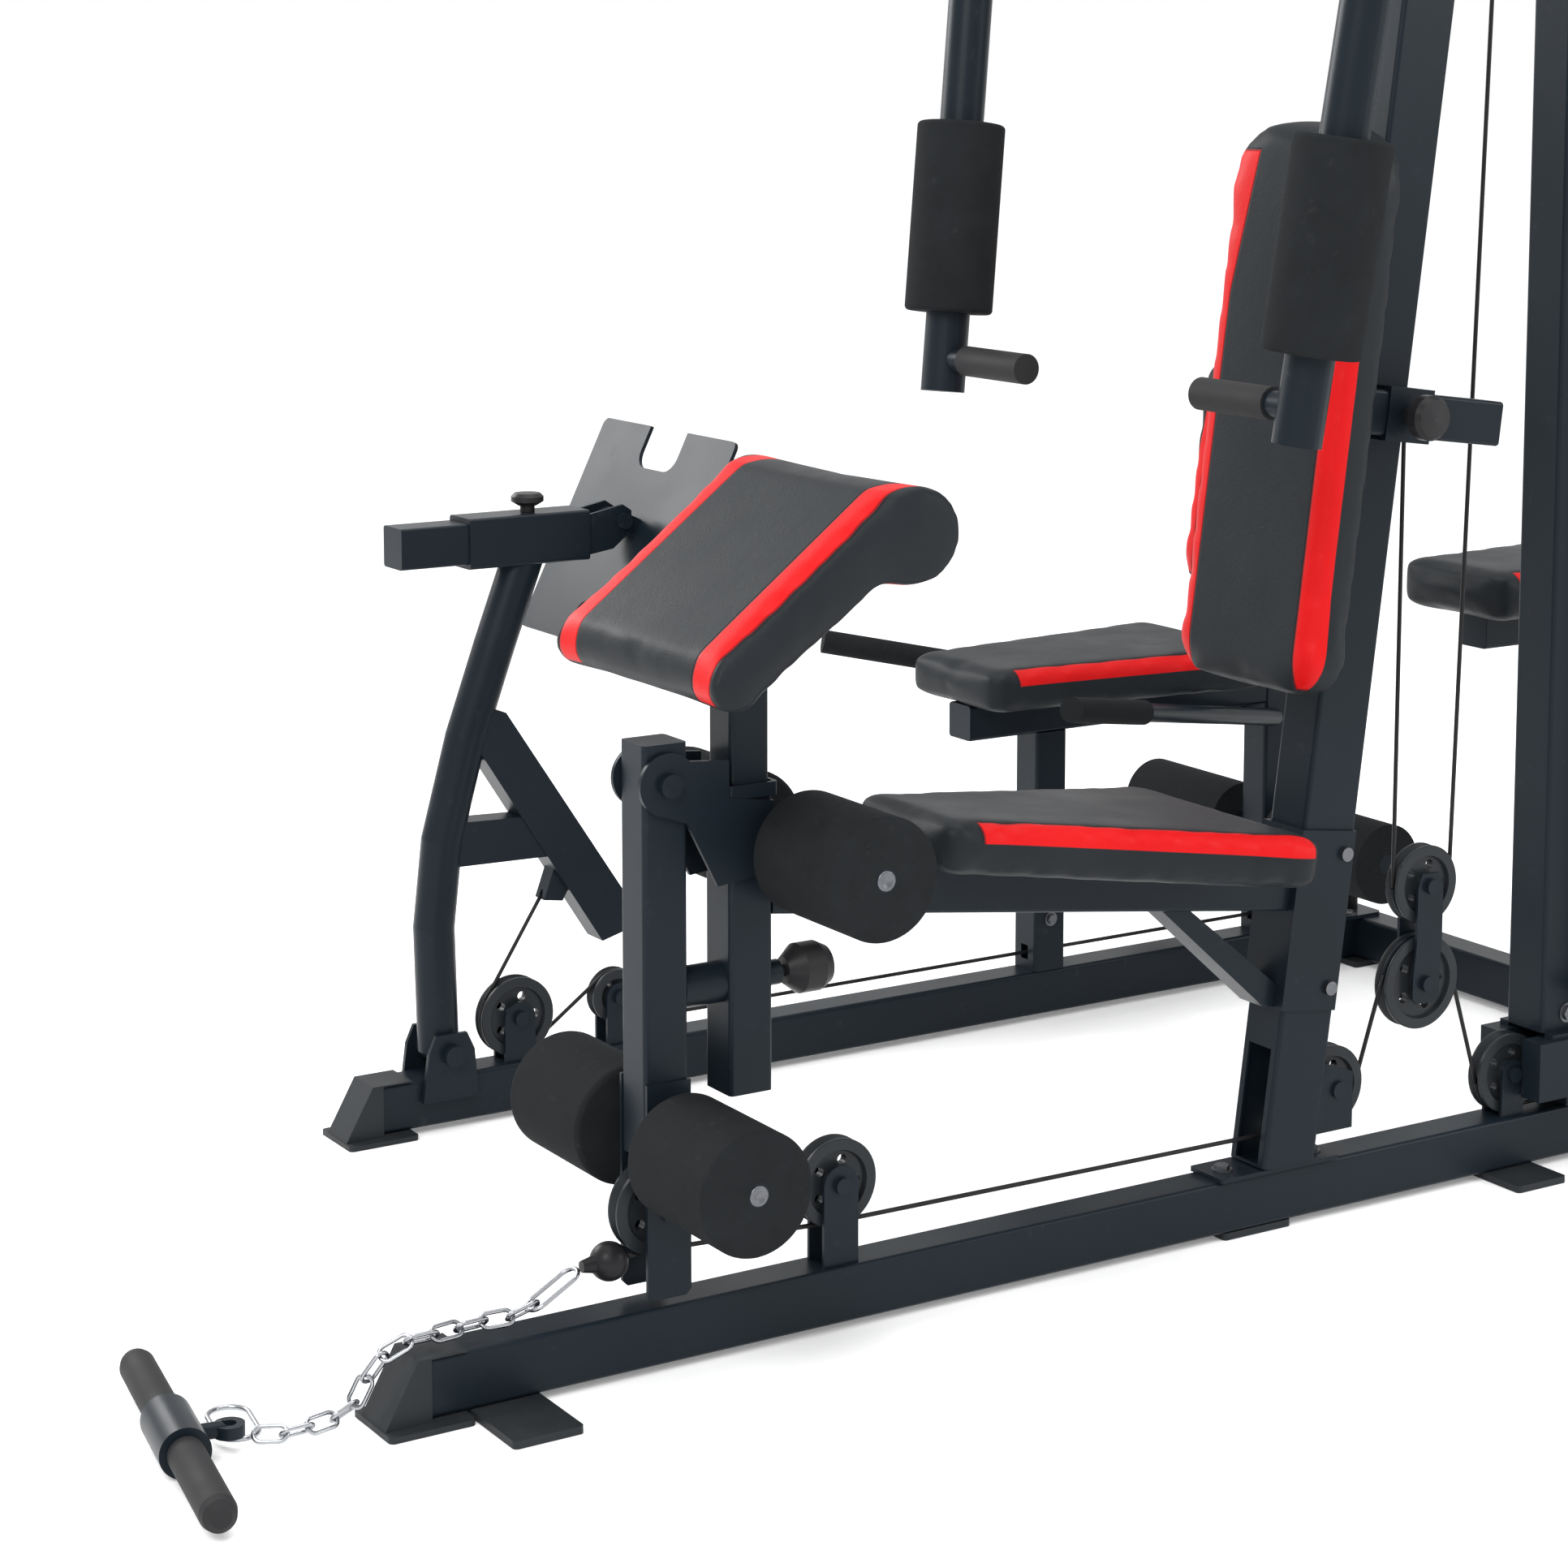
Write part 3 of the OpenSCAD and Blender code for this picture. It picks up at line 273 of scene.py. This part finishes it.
def seat_stripe(rear_x, length, front_half, rear_half, y0, top, leaning):
    """Bands that follow the slanted sides of a seat, on its top edge."""
    slope = (rear_half - front_half) / (length - 2 * SEAT_CORNER)

    def along(s):
        if leaning:
            x, y, z = lean_axes(s)
        else:
            x, y, z = s.axes()
        back = s.math("SUBTRACT", rear_x - SEAT_CORNER, x)
        side = s.math("SUBTRACT", rear_half, s.math("MULTIPLY", back, slope))
        off = s.math("SUBTRACT", side, s.math("ABSOLUTE", s.math("SUBTRACT", y, y0)))
        across = s.math("SUBTRACT", 0.05, off)
        return across, back, s.span(z, top - 0.0215, top - 0.0205)
    return stripe_of(0.022, 0.08, along, 0.0, length * 0.84)


def back_stripe(half, x0, z0, low, high, y0, front, rim=-0.03):
    """Bands on a backrest; rim is how far they stay inside its sides."""
    def along(s):
        x, y, z = lean_axes(s, x0, z0)
        taper = s.span(z, high - 0.16, high, 0.0, 0.024)
        across = s.math("ADD", s.math("ABSOLUTE", s.math("SUBTRACT", y, y0)), taper)
        return across, z, s.span(x, front + 0.020, front + 0.021, 1.0, 0.0)
    return stripe_of(half - 0.038, half - rim, along, low, high)


def roll_stripe(s):
    x, y, z = s.axes()
    across = s.math("ABSOLUTE", y)
    m, e = band(s, across, 0.116, 0.150)
    # keep the stripe off the underside of the slab
    d = s.math("ADD", s.math("MULTIPLY", s.math("ADD", x, 0.585), -0.6088),
               s.math("MULTIPLY", s.math("SUBTRACT", z, 0.893), 0.7934))
    face = s.math("MAXIMUM", s.span(d, -0.036, -0.035), s.span(x, -0.590, -0.589))
    return s.math("MULTIPLY", m, face), s.math("MULTIPLY", e, face)


NAVY = paint("frame_paint", (0.0050, 0.0085, 0.0125), (0.0085, 0.0135, 0.019))
PAINT_STACK = paint("stack_iron", (0.016, 0.017, 0.019), (0.028, 0.029, 0.031), 0.5)
FEET = plastic("foot_plastic", (0.011, 0.013, 0.015), 0.5)
CHROME = bright("bright_steel", (0.80, 0.82, 0.84), 0.13)
CHAIN = bright("chain_steel", (0.36, 0.37, 0.39), 0.20)
ZINC = bright("bolt_steel", (0.13, 0.135, 0.145), 0.36)
FOAM = foam("foam", (0.0075, 0.0085, 0.0095))
KNOB = plastic("knob_plastic", (0.010, 0.010, 0.011), 0.38, 300.0)
NYLON = plastic("pulley_nylon", (0.010, 0.012, 0.014), 0.32, 500.0)
CABLE = plastic("cable_coat", (0.007, 0.007, 0.008), 0.36, 1200.0, 0.0002)
RUBBER = plastic("grip_rubber", (0.012, 0.012, 0.013), 0.66, 420.0, 0.0008)
PIN_RED = plastic("pin_red", (0.42, 0.012, 0.014), 0.35)
BASE = {
    "frame_paint": NAVY, "foot_plastic": FEET, "bright_steel": CHROME,
    "stack_iron": PAINT_STACK, "foam": FOAM, "knob_plastic": KNOB,
    "pulley_nylon": NYLON, "cable_coat": CABLE, "pad_vinyl": vinyl("pad_vinyl"),
}
SPECIAL = {"frame_bolts": ZINC, "row_handle": RUBBER, "row_chain": CHAIN}
for part in frame["record"]["subparts"]:
    ob = nodes[part["node"]]
    mat = SPECIAL.get(part["node"], BASE[part["material_slot"]])
    if not ob.material_slots:
        ob.data.materials.append(mat)
    for sl in ob.material_slots:
        sl.material = mat


# ---------- mesh helpers ----------
def new_object(name, bm, mat, smooth=True):
    me = bpy.data.meshes.new(name)
    bm.to_mesh(me)
    bm.free()
    ob = bpy.data.objects.new(name, me)
    scene.collection.objects.link(ob)
    me.materials.append(mat)
    for p in me.polygons:
        p.use_smooth = smooth
    return ob


def prism(name, outline, depth, place, mat):
    """A closed slab from a 2-D outline, with its local axes put in place."""
    bm = bmesh.new()
    low = [bm.verts.new((x, y, 0)) for x, y in outline]
    high = [bm.verts.new((x, y, depth)) for x, y in outline]
    n = len(outline)
    bm.faces.new(low[::-1])
    bm.faces.new(high)
    for i in range(n):
        bm.faces.new((low[i], low[(i + 1) % n], high[(i + 1) % n], high[i]))
    bmesh.ops.recalc_face_normals(bm, faces=bm.faces)
    bm.transform(place)
    return new_object(name, bm, mat, False)


def arc(cx, cy, r, a0, a1, n=10):
    return [(cx + r * math.cos(math.radians(a0 + (a1 - a0) * i / n)),
             cy + r * math.sin(math.radians(a0 + (a1 - a0) * i / n))) for i in range(n + 1)]


def tube(name, points, radius, mat, sides=12, step=0.02):
    """A smooth tube along points, with rings close enough to bend."""
    path = []
    for a, b in zip(points, points[1:]):
        a, b = Vector(a), Vector(b)
        n = max(1, round((b - a).length / step))
        path += [a.lerp(b, i / n) for i in range(n)]
    path.append(Vector(points[-1]))
    bm = bmesh.new()
    rings = []
    side = None
    for i, p in enumerate(path):
        d = (path[min(i + 1, len(path) - 1)] - path[max(i - 1, 0)]).normalized()
        if side is None:
            side = d.orthogonal().normalized()
        side = (side - d * side.dot(d)).normalized()
        other = d.cross(side)
        rings.append([bm.verts.new(p + radius * (side * math.cos(t) + other * math.sin(t)))
                      for t in (2 * math.pi * k / sides for k in range(sides))])
    for a, b in zip(rings, rings[1:]):
        for k in range(sides):
            bm.faces.new((a[k], a[(k + 1) % sides], b[(k + 1) % sides], b[k]))
    bm.faces.new(rings[0][::-1])
    bm.faces.new(rings[-1])
    bmesh.ops.recalc_face_normals(bm, faces=bm.faces)
    return new_object(name, bm, mat)


# ---------- pads ----------
def inflate(ob, voxel, cap, frames=14, pressure=4.0):
    """Swells a slab like stuffed vinyl with a short cloth simulation."""
    rm = ob.modifiers.new("remesh", "REMESH")
    rm.mode = "VOXEL"
    rm.voxel_size = voxel
    sm = ob.modifiers.new("soften", "SMOOTH")
    sm.iterations = 4
    sm.factor = 0.5
    apply_all(ob)
    rest = [v.co.copy() for v in ob.data.vertices]
    cloth = ob.modifiers.new("cloth", "CLOTH")
    cs = cloth.settings
    cs.quality = 4
    cs.mass = 0.3
    cs.tension_stiffness = 12
    cs.compression_stiffness = 12
    cs.shear_stiffness = 5
    cs.bending_stiffness = 1.2
    cs.use_pressure = True
    cs.uniform_pressure_force = pressure
    cs.effector_weights.gravity = 0
    cloth.collision_settings.use_collision = False
    cloth.point_cache.frame_start = 1
    cloth.point_cache.frame_end = frames
    for f in range(1, frames + 1):
        scene.frame_set(f)
    apply_all(ob)
    scene.frame_set(1)
    for v, r in zip(ob.data.vertices, rest):
        d = v.co - r
        if d.length > cap:
            v.co = r + d * (cap / d.length)
    sm = ob.modifiers.new("settle", "SMOOTH")
    sm.iterations = 7
    sub = ob.modifiers.new("smooth", "SUBSURF")
    sub.levels = sub.render_levels = 1
    apply_all(ob)
    for p in ob.data.polygons:
        p.use_smooth = True


def apply_all(ob):
    bpy.context.view_layer.update()
    deps = bpy.context.evaluated_depsgraph_get()
    me = bpy.data.meshes.new_from_object(ob.evaluated_get(deps))
    ob.modifiers.clear()
    old = ob.data
    ob.data = me
    bpy.data.meshes.remove(old)


def basis(origin, ex, ey, ez):
    return Matrix(((ex[0], ey[0], ez[0], origin[0]), (ex[1], ey[1], ez[1], origin[1]),
                   (ex[2], ey[2], ez[2], origin[2]), (0, 0, 0, 1)))


LEAN_M = basis((0, 0, 0.068), (COS, 0, -SIN), (0, 1, 0), (SIN, 0, COS))


def seat_outline(length, front_half, rear_half):
    """A seat with round corners that narrows to its front."""
    r = 0.024
    a = math.degrees(math.atan2(rear_half - front_half, length - 2 * SEAT_CORNER))
    cx, fx = -r - SHRINK, -length + r + SHRINK
    ry, fy = rear_half - r - SHRINK, front_half - r - SHRINK
    top = arc(cx, ry, r, 0, 90 + a, 8) + arc(fx, fy, r, 90 + a, 180, 8)
    bottom = [(x, -y) for x, y in reversed(top)]
    return top + bottom


def make_pad(name, outline, depth, place, mat, voxel=0.0065, cap=0.006):
    ob = prism(name, outline, depth, place, mat)
    inflate(ob, voxel, cap)
    return ob


S2 = 2 * SHRINK
seat_mat = vinyl("vinyl_main_seat", seat_stripe(-0.072, 0.462, 0.099, 0.172, 0.0, 0.407, True))
main_seat = make_pad("main_seat_cushion", seat_outline(0.462, 0.099, 0.172), 0.058 - S2,
                     LEAN_M @ Matrix.Translation((-0.072, 0, 0.3492 + SHRINK)), seat_mat)
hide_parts("main_seat_pad")
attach(main_seat, "frame")


def back_outline(half_len, half, r_top, r_low):
    a, b = half_len - SHRINK, half - SHRINK
    return (arc(a - r_top, b - r_top, r_top, 90, 0) + arc(a - r_top, -b + r_top, r_top, 0, -90)
            + arc(-a + r_low, -b + r_low, r_low, -90, -180)
            + arc(-a + r_low, b - r_low, r_low, 180, 90))


back_mat = vinyl("vinyl_backrest", back_stripe(0.126, 0.0, 0.068, 0.556, 1.135, 0.0, -0.098))
turn = basis((-0.098 + SHRINK, 0, 0.859), (0, 0, 1), (0, -1, 0), (1, 0, 0))
backrest = make_pad("backrest_cushion", back_outline(0.318, 0.126, 0.075, 0.045),
                    0.060 - S2, LEAN_M @ turn, back_mat)
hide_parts("backrest_pad")
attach(backrest, "backrest")

# preacher pad: a slab that ends in a thick roll
slope = math.atan2(0.165, 0.215)
ux, uz = math.cos(slope), math.sin(slope)
profile = (arc(-0.248, 0.032, 0.032 - SHRINK, 90, 270, 10)
           + arc(0.0, 0.054, 0.054 - SHRINK, -90, 128, 20) + [(-0.060, 0.066 - SHRINK)])
place = basis((-0.585, 0.170 - SHRINK, 0.893), (ux, 0, uz), (uz, 0, -ux), (0, -1, 0))
preacher = make_pad("preacher_cushion", profile, 0.340 - S2, place,
                    vinyl("vinyl_preacher", roll_stripe))
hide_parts("preacher_pad")
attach(preacher, "preacher")

seat2_mat = vinyl("vinyl_second_seat",
                  seat_stripe(0.600, 0.458, 0.110, 0.152, FAR, 0.5052, False))
seat2 = make_pad("second_seat_cushion", seat_outline(0.458, 0.110, 0.152), 0.058 - S2,
                 Matrix.Translation((0.600, FAR, 0.4472 + SHRINK)), seat2_mat)
back2_mat = vinyl("vinyl_second_back",
                  back_stripe(0.075, 0.605, 0.728, -0.145, 0.145, FAR, 0.0, 0.016))
place = basis((0.605, FAR, 0.728), (COS, 0, -SIN), (0, 1, 0), (SIN, 0, COS))
turn = basis((SHRINK, 0, 0), (0, 0, 1), (0, -1, 0), (1, 0, 0))
back2 = make_pad("second_back_cushion", back_outline(0.165, 0.075, 0.04, 0.04), 0.050 - S2,
                 place @ turn, back2_mat)
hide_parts("second_pads")
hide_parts("second_pads")
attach(seat2, "frame")
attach(back2, "frame")

seat3_mat = vinyl("vinyl_rear_seat",
                  seat_stripe(1.300, 0.430, 0.110, 0.152, 0.64, 0.5982, False))
seat3 = make_pad("rear_seat_cushion", seat_outline(0.430, 0.110, 0.152), 0.070 - S2,
                 Matrix.Translation((1.300, 0.64, 0.5282 + SHRINK)), seat3_mat)
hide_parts("rear_seat_pad")
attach(seat3, "frame")


# ---------- strands and chain ----------
def on_pulley(x, z, r, angle, y=0.0):
    rr = r - GROOVE
    a = math.radians(angle)
    return (x + rr * math.cos(a), y, z + rr * math.sin(a))


def strand(name, points, replaced):
    ob = tube(name, points, CABLE_R, CABLE)
    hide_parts(replaced)
    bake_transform(ob)


strand("lat_strand", [on_pulley(-0.455, 1.975, PULLEY_R, 180), (-0.4975, 0, 1.865)],
       "hanging_cables")
strand("stack_strand", [on_pulley(0.6275, 1.975, PULLEY_R, 0), (0.6702, 0, 0.580)],
       "hanging_cables")
strand("upper_strand_a", [on_pulley(0.170, 1.975, PULLEY_R, 0),
                          on_pulley(0.253, 0.363, 0.046, 180)],
       "hanging_cables")
strand("upper_strand_b", [on_pulley(0.392, 1.975, PULLEY_R, 180),
                          on_pulley(0.253, 0.363, 0.046, 0)],
       "hanging_cables")
strand("lower_strand_a", [on_pulley(0.114, 0.147, PULLEY_R, 340),
                          on_pulley(0.249, 0.249, 0.055, 165)],
       "hanging_cables")
strand("lower_strand_b", [on_pulley(0.390, 0.118, PULLEY_R, 190),
                          on_pulley(0.249, 0.249, 0.055, 15)],
       "hanging_cables")
strand("press_strand", [on_pulley(-0.503, 0.122, 0.050, 148, FAR), (-0.464, FAR, 0.270)],
       "hanging_cables")
strand("row_strand", [on_pulley(-0.550, 0.153, PULLEY_R, 270), (-0.761, 0, 0.1193),
                      (-0.797, 0, 0.1186)],
       "row_cable")

chain = bpy.data.objects.new("row_chain_links", nodes["row_chain"].data.copy())
scene.collection.objects.link(chain)
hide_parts("row_chain")
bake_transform(chain)


# ---------- pieces with a second finish ----------
def refinish(node, body, finish, inside):
    """Stands in for a CAD node, with a second finish where inside(point) is true."""
    src = nodes[node]
    ob = bpy.data.objects.new(node + "_finished", src.data.copy())
    scene.collection.objects.link(ob)
    ob.data.materials.append(finish)
    last = len(ob.data.materials) - 1
    for p in ob.data.polygons:
        if inside(p.center):
            p.material_index = last
    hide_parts(node)
    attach(ob, body)
    return ob


def seat2_soft(p):
    y = p.y - FAR
    out = math.hypot(p.x - 0.700, p.z - 0.212)
    if abs(y) > 0.0545 and 0.014 < out < 0.06:
        return True
    a = Vector((0.692, math.copysign(0.024, y), 0.378))
    b = Vector((0.140, math.copysign(0.290, y), 0.490))
    v = (b - a).normalized()
    d = Vector((p.x, y, p.z)) - a
    along = d.dot(v)
    return along > 0.677 * (b - a).length and (d - v * along).length < 0.03


refinish("second_seat_frame", "frame", FOAM, seat2_soft)
refinish("near_arm", "arm_near", RUBBER, lambda p: p.y > -0.2675 and p.z < 1.0)
refinish("far_arm", "arm_far", RUBBER, lambda p: p.y < 0.2675 and p.z < 1.0)
refinish("lat_bar", "high_bar", RUBBER, lambda p: abs(p.y) > 0.4385)
refinish("selector_pin", "stack_pin", PIN_RED, lambda p: p.y < -0.0855)


def plug(name, x, y, z, body, radius=0.0105):
    """A pressed cap in the end of a roller tube."""
    bm = bmesh.new()
    side = 1 if y > 0 else -1
    rings = []
    for r, off in ((radius, 0.0), (radius, 0.0012), (radius - 0.0015, 0.0022),
                   (radius - 0.004, 0.0022), (radius - 0.0055, 0.0008)):
        rings.append([bm.verts.new((x + r * math.cos(t), y + side * off, z + r * math.sin(t)))
                      for t in (2 * math.pi * k / 32 for k in range(32))])
    for a, b in zip(rings, rings[1:]):
        for k in range(32):
            bm.faces.new((a[k], a[(k + 1) % 32], b[(k + 1) % 32], b[k]))
    bm.faces.new(rings[-1])
    bmesh.ops.recalc_face_normals(bm, faces=bm.faces)
    ob = new_object(name, bm, ZINC)
    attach(ob, body)
    return ob


for tag, y in (("near", -0.199), ("far", 0.199)):
    plug("lower_plug_" + tag, -0.761, y, 0.234, "developer")
    plug("upper_plug_" + tag, -0.617, y, 0.522, "frame")

# ---------- studio ----------
floor_s = Shader("studio_floor", 0.65)
floor_cloud = floor_s.noise(1.5, 3.0)
floor_s.color(floor_s.mix(floor_cloud, (0.93, 0.93, 0.93), (0.96, 0.96, 0.96)))
floor_s.rough(floor_s.span(floor_cloud, 0.3, 0.7, 0.6, 0.72))
floor_s.bsdf.inputs["Emission Color"].default_value = (1, 1, 1, 1)
floor_s.bsdf.inputs["Emission Strength"].default_value = 0.16
floor_s.bump(floor_s.noise(60.0, 3.0), 0.02, 0.001)
bm = bmesh.new()
bmesh.ops.create_grid(bm, x_segments=1, y_segments=1, size=120)
floor = new_object("studio_ground", bm, floor_s.mat, False)
floor.location = (0, 0, -0.0005)


def area(name, at, target, size, power, color=(1, 1, 1)):
    data = bpy.data.lights.new(name, "AREA")
    data.shape = "RECTANGLE"
    data.size, data.size_y = size
    data.energy = power
    data.color = color
    ob = bpy.data.objects.new(name, data)
    scene.collection.objects.link(ob)
    ob.location = at
    ob.rotation_euler = (Vector(target) - Vector(at)).to_track_quat("-Z", "Y").to_euler()
    return ob


lights = [
    area("key_light", (-3.6, -2.2, 3.6), (0, 0.2, 0.7), (2.0, 2.0), 130),
    area("top_light", (0.2, 0.2, 4.6), (0, 0.2, 0), (4.0, 3.0), 120),
    area("rim_light", (-1.8, 4.2, 2.4), (0, 0.3, 0.8), (2.6, 1.6), 110),
    area("side_light", (3.6, -3.0, 2.4), (0.2, 0, 0.7), (2.4, 2.0), 70),
]
world = bpy.data.worlds.new("studio_world")
world.use_nodes = True
world.node_tree.nodes["Background"].inputs[0].default_value = (1, 1, 1, 1)
world.node_tree.nodes["Background"].inputs[1].default_value = 1.0
scene.world = world
scene.view_settings.view_transform = "Standard"
